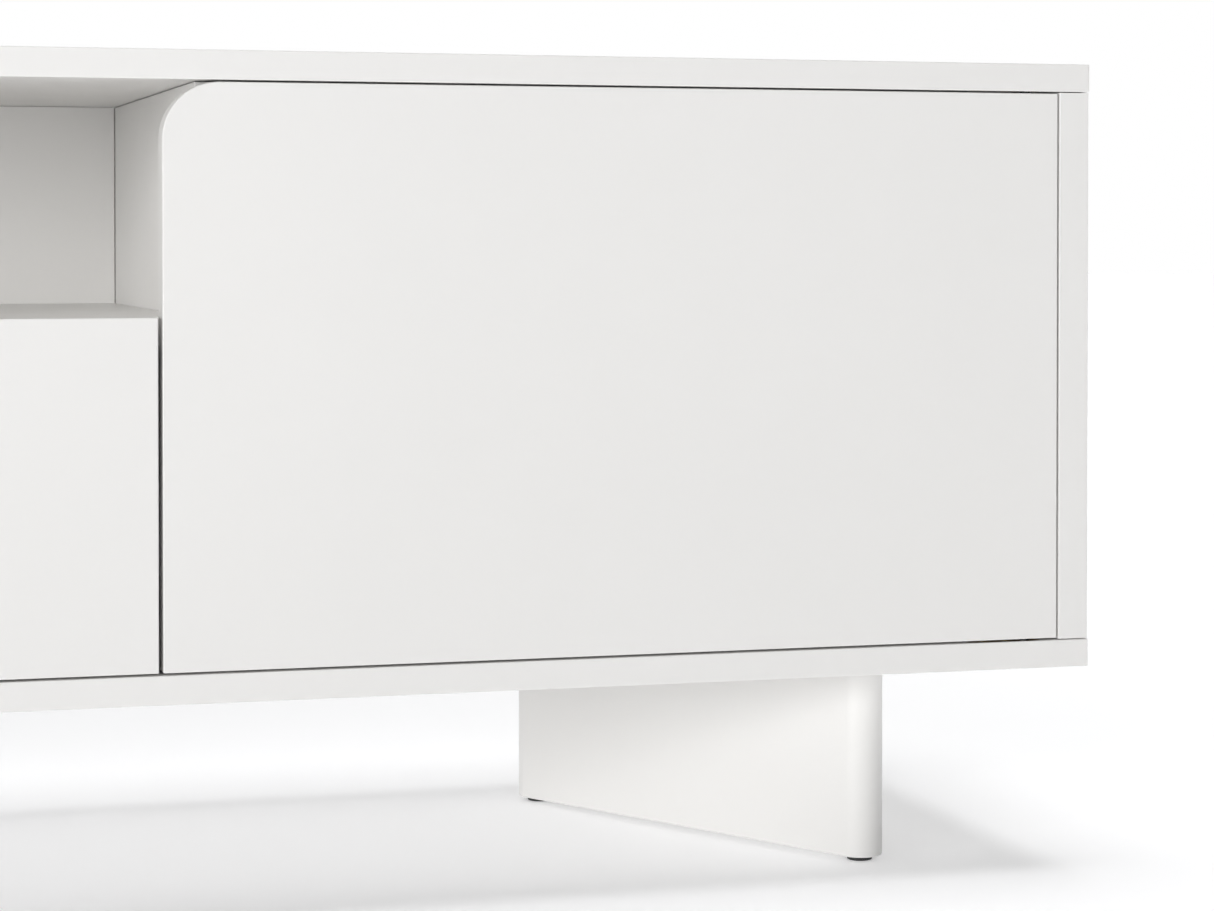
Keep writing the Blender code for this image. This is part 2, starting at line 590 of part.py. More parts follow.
def make_runner(side, sign):
    """A cabinet rail on its packing strip, and the drawer rail that runs inside it."""
    rear = RAIL_FRONT + RAIL_LENGTH
    half = RAIL_HEIGHT / 2
    outer = channel_outline(sign, CABINET_RAIL_BACK, DRAWER_BOX_HALF + 0.0022, half)
    rail("cabinet_rail_" + side, outer, RAIL_FRONT, rear, "steel")
    web = DRAWER_BOX_HALF + TOUCH
    inner = channel_outline(sign, web, CABINET_RAIL_BACK - RAIL_GAUGE - 0.0012, half - RAIL_GAUGE - 0.0010)
    drawer_rail = rail("drawer_rail_" + side, inner, RAIL_FRONT - 0.001, rear - 0.012, "steel")
    x0, x1 = sorted((sign * (CABINET_RAIL_BACK + TOUCH), sign * (PARTITION_FACE - TOUCH)))
    board("rail_packing_" + side, (x0, RAIL_FRONT, RAIL_LEVEL - PACKING_HEIGHT / 2),
          (x1, rear, RAIL_LEVEL + PACKING_HEIGHT / 2), "shelf_board")
    return drawer_rail


# ---------------------------------------------------------------- assembly

def main():
    clear_scene()
    boards = make_boards()
    for side, sign in SIDES.items():
        make_shelf(side, sign, boards)
        make_leg(side, sign, boards["bottom_panel"])
        make_door(side, sign, boards)
    make_drawer()


main()
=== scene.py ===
"""Looks of the low white TV stand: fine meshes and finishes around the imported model, floor, light, camera."""
import json
from math import cos, pi, radians, sin

import bmesh
import bpy
from mathutils import Matrix, Vector


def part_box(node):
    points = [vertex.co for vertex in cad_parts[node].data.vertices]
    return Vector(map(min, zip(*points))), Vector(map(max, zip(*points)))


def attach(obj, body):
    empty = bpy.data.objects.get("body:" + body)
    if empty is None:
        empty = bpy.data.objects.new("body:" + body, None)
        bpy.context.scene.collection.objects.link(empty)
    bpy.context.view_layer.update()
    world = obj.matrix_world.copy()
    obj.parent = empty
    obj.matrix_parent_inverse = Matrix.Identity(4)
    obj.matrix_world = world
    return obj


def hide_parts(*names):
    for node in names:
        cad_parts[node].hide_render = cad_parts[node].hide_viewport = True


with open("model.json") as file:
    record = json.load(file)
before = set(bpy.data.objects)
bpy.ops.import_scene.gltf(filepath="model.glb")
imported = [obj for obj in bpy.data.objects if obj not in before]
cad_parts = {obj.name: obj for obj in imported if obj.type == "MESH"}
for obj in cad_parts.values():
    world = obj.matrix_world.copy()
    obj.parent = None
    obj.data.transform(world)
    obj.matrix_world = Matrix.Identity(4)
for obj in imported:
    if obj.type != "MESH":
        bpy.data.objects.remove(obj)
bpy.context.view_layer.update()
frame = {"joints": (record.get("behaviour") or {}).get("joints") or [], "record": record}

MM = 0.001
SIDES = {"left": -1, "right": 1}

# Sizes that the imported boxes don't hold, as in the CAD.
TOUCH = 0.3 * MM
DOOR_CORNER = 35 * MM
LEG_TURN = radians(29.5)
LEG_HALF_SPAN = 153 * MM
LEAF_WIDTH = 10 * MM
LEAF_THICKNESS = 2.5 * MM
LEAF_MORTISE = LEAF_THICKNESS + 2 * TOUCH
MORTISE_CUT = 8 * MM        # the mortise cutters' height
PIVOT_PIN_RADIUS = 3 * MM
BUSH_RADIUS = 5.5 * MM
BUSH_HOLE_DEPTH = 10.6 * MM
BUSH_BORE_RADIUS = 3.05 * MM
BUSH_BORE_DEPTH = 8.5 * MM
MAGNET_HOLE_RADIUS = 5.3 * MM
STRIKE_RECESS_RADIUS = 7.3 * MM
STRIKE_RECESS_DEPTH = 1.8 * MM
BOLT_HEAD_HEIGHT = 4.2 * MM
BOLT_SHANK_RADIUS = 4 * MM
BOLT_COUNTERBORE_RADIUS = 7.5 * MM
SHELF_PIN_SUNK = 9 * MM
PIN_HOLE_RADIUS = 3.1 * MM
PIN_HOLE_SPACE = 1 * MM     # left behind the pin
PIN_HOLE_PITCH = 32 * MM
PIN_HOLE_SPARES = 2     # spare holes above each pin, and as many below
CABLE_HOLE_RADIUS = 30 * MM
CABLE_HOLE_LEVEL = 420 * MM
RAIL_GAUGE = 1.5 * MM
GROOVE = 5 * MM
GROOVE_STOP = 6 * MM    # the sides' grooves end this far before their rear ends

# Details that only the fine meshes have.
PLATE_ROUND = 0.3 * MM
PLATE_SCREWS = (14 * MM, 30 * MM)   # the screws' distances from the pivot, on each hinge plate
SCREW_RECESS_RADIUS = 2.6 * MM
SCREW_RECESS_DEPTH = 0.8 * MM
SCREW_SEAT_DEPTH = 0.75 * MM
PLATE_SCREW = {"radius": 2.5 * MM, "rise": 0.7 * MM}
PAN_SCREW = {"radius": 3.4 * MM, "rise": 1.5 * MM}
RAIL_SCREW_HOLE = 2.1 * MM
RAIL_LIGHT_HOLE = 3 * MM
RAIL_LIGHT_HOLE_RISE = 7 * MM
RAIL_LIGHT_HOLE_INSET = 70 * MM
CUT_BEYOND = 4 * MM     # how far a cutter stands out of the face that it enters

# Edge rounding of the finished surfaces, and how far a butt joint stands open.
BOARD_ROUND = 0.7 * MM
FRONT_ROUND = 0.8 * MM
LEG_ROUND = 1.6 * MM
INNER_ROUND = 0.5 * MM
JOINT_ROUND = 0.25 * MM
JOINT_OPEN = 0.3 * MM
BACK_SEAM = 0.7 * MM
BACK_SEAM_DEPTH = 3.5 * MM
SEAM_REACH = 0.2 * MM
CABLE_RIM_ROUND = 0.8 * MM

# The body of each CAD node, and the point that each door turns about.
BODY_OF = {node: body for body, members in frame["record"]["behaviour"]["bodies"].items() for node in members}
PIVOT = {joint["child"]: Vector(joint["pos_m"]) for joint in frame["joints"] if joint["type"] == "hinge"}


# ---------------------------------------------------------------- finishes

def new_material(name):
    """A new node material, its tree and its Principled shader."""
    material = bpy.data.materials.new(name)
    material.use_nodes = True
    tree = material.node_tree
    return material, tree, tree.nodes["Principled BSDF"]


def noise(tree, scale, detail=2.0, stretch=None):
    """A noise texture on the object's own coordinates; its scale is in waves per metre."""
    coords = tree.nodes.new("ShaderNodeTexCoord")
    texture = tree.nodes.new("ShaderNodeTexNoise")
    texture.inputs["Scale"].default_value = scale
    texture.inputs["Detail"].default_value = detail
    source = coords.outputs["Object"]
    if stretch:
        mapping = tree.nodes.new("ShaderNodeMapping")
        mapping.inputs["Scale"].default_value = stretch
        tree.links.new(source, mapping.inputs["Vector"])
        source = mapping.outputs["Vector"]
    tree.links.new(source, texture.inputs["Vector"])
    return texture.outputs["Fac"]


def clouded_color(tree, shader, color, spread, scale, stretch=None):
    """Base colour that drifts a little lighter and darker over the surface."""
    ramp = tree.nodes.new("ShaderNodeValToRGB")
    ramp.color_ramp.elements[0].position = 0.3
    ramp.color_ramp.elements[1].position = 0.7
    ramp.color_ramp.elements[0].color = (*[c * (1 - spread) for c in color], 1)
    ramp.color_ramp.elements[1].color = (*[min(c * (1 + spread), 1) for c in color], 1)
    tree.links.new(noise(tree, scale, 4.0, stretch), ramp.inputs["Fac"])
    tree.links.new(ramp.outputs["Color"], shader.inputs["Base Color"])


def clouded_roughness(tree, shader, low, high, scale, stretch=None):
    """Roughness that drifts between two values over the surface."""
    drift = tree.nodes.new("ShaderNodeMapRange")
    drift.inputs["From Min"].default_value = 0.3
    drift.inputs["From Max"].default_value = 0.7
    drift.inputs["To Min"].default_value = low
    drift.inputs["To Max"].default_value = high
    tree.links.new(noise(tree, scale, 3.0, stretch), drift.inputs["Value"])
    tree.links.new(drift.outputs["Result"], shader.inputs["Roughness"])


def bumped(tree, shader, layers):
    """Fine relief from several (scale, height in mm, stretch) noise layers, one bump after another."""
    last = None
    for scale, height, stretch in layers:
        bump = tree.nodes.new("ShaderNodeBump")
        bump.inputs["Strength"].default_value = 1.0
        bump.inputs["Distance"].default_value = height * MM
        tree.links.new(noise(tree, scale, 2.0, stretch), bump.inputs["Height"])
        if last:
            tree.links.new(last.outputs["Normal"], bump.inputs["Normal"])
        last = bump
    tree.links.new(last.outputs["Normal"], shader.inputs["Normal"])


def make_lacquer(name, color=(0.842, 0.834, 0.818)):
    """Satin white lacquer: faint orange peel, a slight drift in tone and gloss."""
    material, tree, shader = new_material(name)
    shader.inputs["Specular IOR Level"].default_value = 0.42
    clouded_color(tree, shader, color, 0.006, 5)
    clouded_roughness(tree, shader, 0.36, 0.44, 24)
    bumped(tree, shader, [(420, 0.012, None), (90, 0.02, None)])
    return material


def make_melamine(name, color=(0.80, 0.80, 0.79)):
    """Matt white melamine with the fine pearl relief of its press plate."""
    material, tree, shader = new_material(name)
    shader.inputs["Specular IOR Level"].default_value = 0.4
    clouded_color(tree, shader, color, 0.01, 12)
    clouded_roughness(tree, shader, 0.5, 0.62, 60)
    bumped(tree, shader, [(900, 0.03, None), (2600, 0.01, None)])
    return material


def make_zinc(name):
    """Bright zinc plate on rolled steel, with faint drawing lines along the depth."""
    material, tree, shader = new_material(name)
    shader.inputs["Metallic"].default_value = 1.0
    clouded_color(tree, shader, (0.60, 0.61, 0.63), 0.06, 35)
    clouded_roughness(tree, shader, 0.24, 0.42, 120, (6, 1, 6))
    bumped(tree, shader, [(500, 0.01, (6, 0.3, 6))])
    return material


def make_black_steel(name):
    """Oiled black oxide on steel."""
    material, tree, shader = new_material(name)
    shader.inputs["Metallic"].default_value = 0.6
    clouded_color(tree, shader, (0.035, 0.035, 0.038), 0.12, 120)
    clouded_roughness(tree, shader, 0.38, 0.5, 400)
    bumped(tree, shader, [(1500, 0.01, None)])
    return material


def make_brass(name):
    """Plain drawn brass, a little dulled."""
    material, tree, shader = new_material(name)
    shader.inputs["Metallic"].default_value = 1.0
    clouded_color(tree, shader, (0.72, 0.53, 0.25), 0.07, 90)
    clouded_roughness(tree, shader, 0.28, 0.45, 300)
    bumped(tree, shader, [(1500, 0.015, None)])
    return material


def make_nickel(name):
    """Bright nickel plate."""
    material, tree, shader = new_material(name)
    shader.inputs["Metallic"].default_value = 1.0
    clouded_color(tree, shader, (0.66, 0.63, 0.58), 0.03, 200)
    clouded_roughness(tree, shader, 0.12, 0.24, 500)
    return material


def make_black_plastic(name):
    """Moulded black plastic with a fine spark-eroded grain."""
    material, tree, shader = new_material(name)
    clouded_color(tree, shader, (0.022, 0.022, 0.023), 0.15, 80)
    clouded_roughness(tree, shader, 0.45, 0.62, 400)
    bumped(tree, shader, [(1800, 0.04, None)])
    return material


def make_soft_pad(name):
    """Clear soft polyurethane of the bumper pads."""
    material, tree, shader = new_material(name)
    shader.inputs["Subsurface Weight"].default_value = 0.35
    shader.inputs["Subsurface Scale"].default_value = 0.002
    clouded_color(tree, shader, (0.78, 0.79, 0.80), 0.02, 300)
    clouded_roughness(tree, shader, 0.22, 0.32, 500)
    return material


FINISH = {
    "lacquer": make_lacquer("white_satin_lacquer"),
    "shelf_board": make_melamine("white_melamine"),
    "steel": make_zinc("zinc_plated_steel"),
    "black_steel": make_black_steel("black_oxide_steel"),
    "brass": make_brass("plain_brass"),
    "magnet": make_nickel("nickel_plate"),
    "glide": make_black_plastic("black_plastic"),
    "bumper_pad": make_soft_pad("soft_clear_pad"),
}
# The record's material slot of each CAD node.
SLOT_OF = {row["node"]: row["material_slot"] for row in frame["record"]["subparts"]}


# ---------------------------------------------------------------- mesh helpers

def raw_object(name, bm):
    """Turn a bmesh into a linked object with its faces pointing out, and free it."""
    bmesh.ops.recalc_face_normals(bm, faces=bm.faces)
    mesh = bpy.data.meshes.new(name)
    bm.to_mesh(mesh)
    bm.free()
    obj = bpy.data.objects.new(name, mesh)
    bpy.context.scene.collection.objects.link(obj)
    return obj


def carve(obj, tools, operation="DIFFERENCE"):
    """Cut a bmesh full of closed shapes out of the object, or join them to it."""
    tool = raw_object(obj.name + "_tool", tools)
    step = obj.modifiers.new("carve", "BOOLEAN")
    step.operation = operation
    step.solver = "EXACT"
    step.use_self = True
    step.object = tool
    graph = bpy.context.evaluated_depsgraph_get()
    carved = bpy.data.meshes.new_from_object(obj.evaluated_get(graph))
    obj.modifiers.clear()
    obj.data = carved
    bpy.data.objects.remove(tool, do_unlink=True)


def finish(obj, node, stands_for=None, slot=None, body=None, sharp=35):
    """Shade, paint and mount a piece that stands for its CAD node, or beside it with an empty stands_for."""
    slot = slot or SLOT_OF[node]
    obj.data.shade_smooth()
    obj.data.set_sharp_from_angle(angle=radians(sharp))
    weigh = obj.modifiers.new("even_flats", "WEIGHTED_NORMAL")
    weigh.mode = "FACE_AREA"
    weigh.weight = 100
    weigh.keep_sharp = True
    obj.data.materials.clear()
    obj.data.materials.append(FINISH[slot])
    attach(obj, body or BODY_OF[node])
    if stands_for is None:
        stands_for = [node]
    if stands_for:
        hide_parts(*stands_for)


def add_box(bm, low, high):
    """A closed box between two corners."""
    size = Vector(high) - Vector(low)
    place = Matrix.Translation((Vector(low) + Vector(high)) / 2) @ Matrix.Diagonal((*size, 1))
    bmesh.ops.create_cube(bm, size=1.0, matrix=place)


AXIS_TURN = {
    "X": Matrix.Rotation(pi / 2, 4, "Y"),
    "Y": Matrix.Rotation(-pi / 2, 4, "X"),
    "Z": Matrix.Identity(4),
}


def add_rod(bm, radius, centre, length, axis, steps=40, tip_radius=None):
    """A closed cylinder or cone, centred, along an axis."""
    bmesh.ops.create_cone(bm, cap_ends=True, segments=steps, radius1=radius,
                          radius2=radius if tip_radius is None else tip_radius, depth=length,
                          matrix=Matrix.Translation(centre) @ AXIS_TURN[axis])


def add_bore(bm, radius, mouth, depth, axis, inward, steps=48):
    """A round cutter that enters a face at mouth and runs on by depth; inward is 1 or -1 along the axis."""
    centre = Vector(mouth)
    centre["XYZ".index(axis)] += inward * (depth - CUT_BEYOND) / 2
    add_rod(bm, radius, centre, depth + CUT_BEYOND, axis, steps)


def round_edges(bm, edges, radius, segments=4):
    """Round over a list of edges."""
    bmesh.ops.bevel(bm, geom=edges, offset=radius, offset_type="OFFSET", segments=segments, profile=0.5,
                    affect="EDGES", clamp_overlap=True)


def edges_between(bm, axis, value, tolerance=1e-5):
    """The edges that lie in one plane across an axis."""
    return [e for e in bm.edges if all(abs(v.co[axis] - value) < tolerance for v in e.verts)]


def rounded_box(low, high, radius, segments=4):
    """A bmesh of a box with all its edges rounded."""
    bm = bmesh.new()
    add_box(bm, low, high)
    round_edges(bm, bm.edges[:], radius, segments)
    return bm


def lift(bm, face, offset):
    """Extrude one face by a vector into a closed prism."""
    raised = bmesh.ops.extrude_face_region(bm, geom=[face])
    moved = [item for item in raised["geom"] if isinstance(item, bmesh.types.BMVert)]
    bmesh.ops.translate(bm, vec=offset, verts=moved)


def arc(centre, radius, start, end, steps):
    """Points along a circle from one angle to another."""
    cx, cy = centre
    turns = [start + (end - start) * i / steps for i in range(steps + 1)]
    return [(cx + radius * cos(a), cy + radius * sin(a)) for a in turns]


def dome(radius, shoulder, top, steps):
    """A quarter of an ellipse as a turned profile, from (radius, shoulder) up to the axis at top."""
    turns = [pi / 2 * i / steps for i in range(steps)]
    return [(radius * cos(a), shoulder + (top - shoulder) * sin(a)) for a in turns] + [(0, top)]


def slot_outline(half_span, radius, steps=16):
    """A bar's outline with round ends, long along X, about the origin."""
    return (arc((half_span, 0), radius, -pi / 2, pi / 2, steps)
            + arc((-half_span, 0), radius, pi / 2, 3 * pi / 2, steps))


def add_plate(bm, node, y, base, height, margin=0.0, steps=16):
    """A flat bar in the plan of a hinge plate, grown by margin, from the level base on by height."""
    low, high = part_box(node)
    half_span = (high.x - low.x - LEAF_WIDTH) / 2
    x = (low.x + high.x) / 2
    ring = slot_outline(half_span, LEAF_WIDTH / 2 + margin, steps)
    face = bm.faces.new([bm.verts.new((x + dx, y + dy, base)) for dx, dy in ring])
    lift(bm, face, Vector((0, 0, height)))


def lathe(name, profile, place, axis="Z", flip=False, steps=64):
    """A round piece spun from (radius, height) points whose ends lie on the axis."""
    bm = bmesh.new()
    verts = [bm.verts.new((r, 0, z)) for r, z in profile]
    edges = [bm.edges.new(pair) for pair in zip(verts, verts[1:])]
    bmesh.ops.spin(bm, geom=verts + edges, cent=(0, 0, 0), axis=(0, 0, 1), angle=2 * pi, steps=steps,
                   use_duplicate=False)
    bmesh.ops.remove_doubles(bm, verts=bm.verts, dist=1e-7)
    turn = AXIS_TURN[axis]
    if flip:
        turn = turn @ Matrix.Rotation(pi, 4, "X")
    bmesh.ops.transform(bm, matrix=Matrix.Translation(place) @ turn, verts=bm.verts)
    return raw_object(name, bm)


def middle(node):
    """The centre of a CAD node's box."""
    low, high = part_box(node)
    return (low + high) / 2


# ---------------------------------------------------------------- boards of the carcass

def pin_hole_cutters(bm, panel, side):
    """Two rows of shelf pin holes in a board's bay face, spaced up and down from the pins."""
    panel_low, panel_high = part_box(panel)
    wall = "inner" if panel.startswith("partition") else "outer"
    for row in ("front", "rear"):
        pin_low, pin_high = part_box(f"shelf_pin_{side}_{wall}_{row}")
        sunk_low, sunk_high = max(pin_low.x, panel_low.x), min(pin_high.x, panel_high.x)
        toward_bay = 1 if pin_high.x > panel_high.x else -1
        face = panel_high.x if toward_bay > 0 else panel_low.x
        depth = sunk_high - sunk_low + PIN_HOLE_SPACE
        for step in range(-PIN_HOLE_SPARES, PIN_HOLE_SPARES + 1):
            level = (pin_low.z + pin_high.z) / 2 + PIN_HOLE_PITCH * step
            mouth = (face, (pin_low.y + pin_high.y) / 2, level)
            add_bore(bm, PIN_HOLE_RADIUS, mouth, depth, "X", -toward_bay, 24)


def socket_cutters(bm, level):
    """Mortises and bush bores for the two pivot sockets in the top or the bottom board."""
    board_low, board_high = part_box(level + "_panel")
    face, outward = (board_low.z, -1) if level == "top" else (board_high.z, 1)
    for side in SIDES:
        pivot = PIVOT[side + "_door"]
        add_plate(bm, f"pivot_socket_{side}_{level}", pivot.y, face - outward * LEAF_MORTISE,
                  outward * MORTISE_CUT, TOUCH)
        add_bore(bm, BUSH_RADIUS + TOUCH, (pivot.x, pivot.y, face), BUSH_HOLE_DEPTH, "Z", -outward)


def bolt_cutters(bm):
    """Counterbores for the heads of the leg bolts in the bottom board."""
    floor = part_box("bottom_panel")[1].z
    for side in SIDES:
        for end in ("front", "rear"):
            bolt = f"leg_bolt_{side}_{end}"
            centre = middle(bolt)
            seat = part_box(bolt)[1].z - BOLT_HEAD_HEIGHT - TOUCH
            add_bore(bm, BOLT_COUNTERBORE_RADIUS, (centre.x, centre.y, floor), floor - seat, "Z", -1)


def board(node, radius=BOARD_ROUND, ends=None, cutters=None, segments=4):
    """A finished board in its CAD node's box; its faces across the axis ends, if given, butt on others."""
    low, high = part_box(node)
    if ends is not None:
        low[ends] += JOINT_OPEN
        high[ends] -= JOINT_OPEN
    bm = bmesh.new()
    add_box(bm, low, high)
    if ends is None:
        round_edges(bm, bm.edges[:], radius, segments)
    else:
        crisp = edges_between(bm, ends, low[ends]) + edges_between(bm, ends, high[ends])
        round_edges(bm, [e for e in bm.edges if e not in crisp], radius, segments)
        across = edges_between(bm, ends, low[ends]) + edges_between(bm, ends, high[ends])
        round_edges(bm, across, JOINT_ROUND, 2)
    obj = raw_object("fine_" + node, bm)
    if cutters:
        tools = bmesh.new()
        cutters(tools)
        carve(obj, tools)
    finish(obj, node)


def bottom_cutters(bm):
    """All that is cut into the bottom board."""
    socket_cutters(bm, "bottom")
    bolt_cutters(bm)


def partition_cutters(bm, side):
    """Pin holes in a partition's bay face, and the magnet's hole in its front edge."""
    pin_hole_cutters(bm, "partition_" + side, side)
    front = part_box("partition_" + side)[0].y
    centre = middle("catch_magnet_" + side)
    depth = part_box("catch_magnet_" + side)[1].y - front + TOUCH
    add_bore(bm, MAGNET_HOLE_RADIUS, (centre.x, front, centre.z), depth, "Y", 1)


def make_carcass():
    """The boards that stand still, and the adjustable shelves."""
    board("top_panel", cutters=lambda bm: socket_cutters(bm, "top"))
    board("bottom_panel", cutters=bottom_cutters)
    board("niche_shelf", INNER_ROUND, ends=0)
    for side in SIDES:
        board("partition_" + side, INNER_ROUND, ends=2,
              cutters=lambda bm, side=side: partition_cutters(bm, side))
        board("side_panel_" + side, ends=2,
              cutters=lambda bm, side=side: pin_hole_cutters(bm, "side_panel_" + side, side))
        board("adjustable_shelf_" + side, INNER_ROUND, segments=3)
    make_back()


def make_back():
    """The back board: a softly rimmed round cable hole, and a seam along each wall of the niche."""
    low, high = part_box("back_panel")
    back = raw_object("fine_back_panel", rounded_box(low, high, JOINT_ROUND, 2))
    centre = Vector((0, (low.y + high.y) / 2, CABLE_HOLE_LEVEL))
    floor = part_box("niche_shelf")[1].z - SEAM_REACH
    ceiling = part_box("top_panel")[0].z + 1 * MM
    cuts = bmesh.new()
    add_rod(cuts, CABLE_HOLE_RADIUS, centre, high.y - low.y + 10 * MM, "Y", 96)
    for side, sign in SIDES.items():
        wall_low, wall_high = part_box("partition_" + side)
        wall = wall_low.x if sign > 0 else wall_high.x
        x0, x1 = sorted((wall - sign * BACK_SEAM, wall + sign * 2 * SEAM_REACH))
        add_box(cuts, (x0, low.y - 1 * MM, floor), (x1, low.y + BACK_SEAM_DEPTH, ceiling))
    carve(back, cuts)
    bm = bmesh.new()
    bm.from_mesh(back.data)
    rims = [e for e in bm.edges
            if all(abs((v.co - centre).xz.length - CABLE_HOLE_RADIUS) < 0.05 * MM for v in e.verts)
            and abs(e.verts[0].co.y - e.verts[1].co.y) < 1e-6]
    round_edges(bm, rims, CABLE_RIM_ROUND, 3)
    bm.to_mesh(back.data)
    bm.free()
    finish(back, "back_panel")


# ---------------------------------------------------------------- fronts

def door_outline(low, high, sign):
    """Front view of a door as (x, z) points, with the upper free corner rounded."""
    free, hinge = (low.x, high.x) if sign > 0 else (high.x, low.x)
    centre = (free + sign * DOOR_CORNER, high.z - DOOR_CORNER)
    corner = arc(centre, DOOR_CORNER, pi / 2, pi if sign > 0 else 0, 28)
    return [(hinge, low.z), (hinge, high.z)] + corner + [(free, low.z)]


def make_door(side, sign):
    """A door with mortises for its pivot leaves and a recess for its strike plate."""
    node = "door_" + side
    low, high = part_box(node)
    bm = bmesh.new()
    face = bm.faces.new([bm.verts.new((x, high.y, z)) for x, z in door_outline(low, high, sign)])
    lift(bm, face, Vector((0, low.y - high.y, 0)))
    bmesh.ops.recalc_face_normals(bm, faces=bm.faces)
    round_edges(bm, [e for e in bm.edges if e.calc_face_angle(0) > radians(40)], FRONT_ROUND, 4)
    door = raw_object("fine_" + node, bm)

    tools = bmesh.new()
    for level, edge, outward in (("top", high.z, 1), ("bottom", low.z, -1)):
        add_plate(tools, f"pivot_leaf_{side}_{level}", PIVOT[side + "_door"].y,
                  edge - outward * LEAF_MORTISE, outward * MORTISE_CUT, TOUCH)
    strike = middle("strike_plate_" + side)
    add_bore(tools, STRIKE_RECESS_RADIUS, (strike.x, high.y, strike.z), STRIKE_RECESS_DEPTH, "Y", -1)
    carve(door, tools)
    finish(door, node)


def make_fronts():
    """Both doors, and the drawer front with a groove for the drawer's bottom."""
    for side, sign in SIDES.items():
        make_door(side, sign)
    low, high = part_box("drawer_front")
    front = raw_object("fine_drawer_front", rounded_box(low, high, FRONT_ROUND, 4))
    floor_low, floor_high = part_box("drawer_bottom")
    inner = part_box("drawer_side_right")[0].x
    tools = bmesh.new()
    add_box(tools, (-inner, high.y - GROOVE, floor_low.z - TOUCH),
            (inner, high.y + CUT_BEYOND, floor_high.z + TOUCH))
    carve(front, tools)
    finish(front, "drawer_front")


# ---------------------------------------------------------------- legs and glides

def make_legs():
    """Slab legs with round ends, turned in plan, on their glides."""
    for side, sign in SIDES.items():
        node = "leg_" + side
        low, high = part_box(node)
        centre = middle(node)
        turn = sign * (-pi / 2 + LEG_TURN)
        thickness = high.x - low.x - 2 * LEG_HALF_SPAN * sin(LEG_TURN)
        bm = bmesh.new()
        outline = slot_outline(LEG_HALF_SPAN, thickness / 2, 28)
        face = bm.faces.new([bm.verts.new((x, y, 0)) for x, y in outline])
        lift(bm, face, Vector((0, 0, high.z - low.z)))
        bmesh.ops.recalc_face_normals(bm, faces=bm.faces)
        rims = [e for e in bm.edges if e.calc_face_angle(0) > radians(40)]
        round_edges(bm, rims, LEG_ROUND, 5)
        place = Matrix.Translation((centre.x, centre.y, low.z)) @ Matrix.Rotation(turn, 4, "Z")
        bmesh.ops.transform(bm, matrix=place, verts=bm.verts)
        finish(raw_object("fine_" + node, bm), node)
        for end in ("front", "rear"):
            make_glide(f"glide_{side}_{end}", low.z - TOUCH)


def make_glide(node, h):
    """A round glide h high with a dished foot, on a stem that runs up into the leg."""
    low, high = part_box(node)
    centre = middle(node)
    r = (high.x - low.x) / 2
    stem, dish, foot_round, brim_round = 2 * MM, 0.3 * MM, 1.2 * MM, 0.4 * MM
    foot = arc((r - foot_round, foot_round), foot_round, -pi / 2, 0, 6)
    brim = arc((r - brim_round, h - brim_round), brim_round, 0, pi / 2, 4)
    profile = [(0, dish), (r * 0.45, dish), (r * 0.5, 0)] + foot + brim
    profile += [(stem, h), (stem, high.z - 0.5 * MM), (0, high.z)]
    finish(lathe("fine_" + node, profile, (centre.x, centre.y, 0)), node)


# ---------------------------------------------------------------- hardware

def make_bolts():
    """Cap-head leg bolts with a hexagon socket."""
    for side in SIDES:
        for end in ("front", "rear"):
            node = f"leg_bolt_{side}_{end}"
            low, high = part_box(node)
            centre = middle(node)
            head, shank = (high.x - low.x) / 2, BOLT_SHANK_RADIUS
            foot = high.z - BOLT_HEAD_HEIGHT
            tip, brim = 1 * MM, 0.8 * MM
            hexagon_radius, hexagon_depth = 2.9 * MM, 2.8 * MM
            profile = [(0, low.z), (shank - tip, low.z), (shank, low.z + tip), (shank, foot), (head, foot)]
            profile += arc((head - brim, high.z - brim), brim, 0, pi / 2, 5)
            profile += [(0, high.z)]
            bolt = lathe("fine_" + node, profile, (centre.x, centre.y, 0), steps=48)
            tools = bmesh.new()
            add_rod(tools, hexagon_radius, (centre.x, centre.y, high.z), 2 * hexagon_depth, "Z", 6)
            carve(bolt, tools)
            finish(bolt, node)


def make_shelf_pins():
    """Turned pins with a grooved stop flange."""
    for side, sign in SIDES.items():
        for wall, inward in (("inner", 1), ("outer", -1)):
            for row in ("front", "rear"):
                node = f"shelf_pin_{side}_{wall}_{row}"
                low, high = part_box(node)
                centre = middle(node)
                sunk = SHELF_PIN_SUNK
                reach = high.x - low.x - sunk
                shank, flange = 2.5 * MM, 4 * MM
                tip, edge, nose = 0.5 * MM, 0.3 * MM, 1 * MM
                groove_start, groove_end = 1.8 * MM, 2.9 * MM
                profile = [(0, -sunk), (shank - tip, -sunk), (shank, -sunk + tip), (shank, TOUCH),
                           (flange - edge, TOUCH), (flange, TOUCH + edge),
                           (flange, groove_start), (flange - edge, groove_start + edge),
                           (flange - edge, groove_end - edge), (flange, groove_end)]
                profile += arc((flange - nose, reach - nose), nose, 0, pi / 2, 5) + [(0, reach)]
                direction = sign * inward
                base = low.x + sunk if direction > 0 else high.x - sunk
                place = (base, centre.y, centre.z)
                finish(lathe("fine_" + node, profile, place, "X", direction < 0, 32), node)


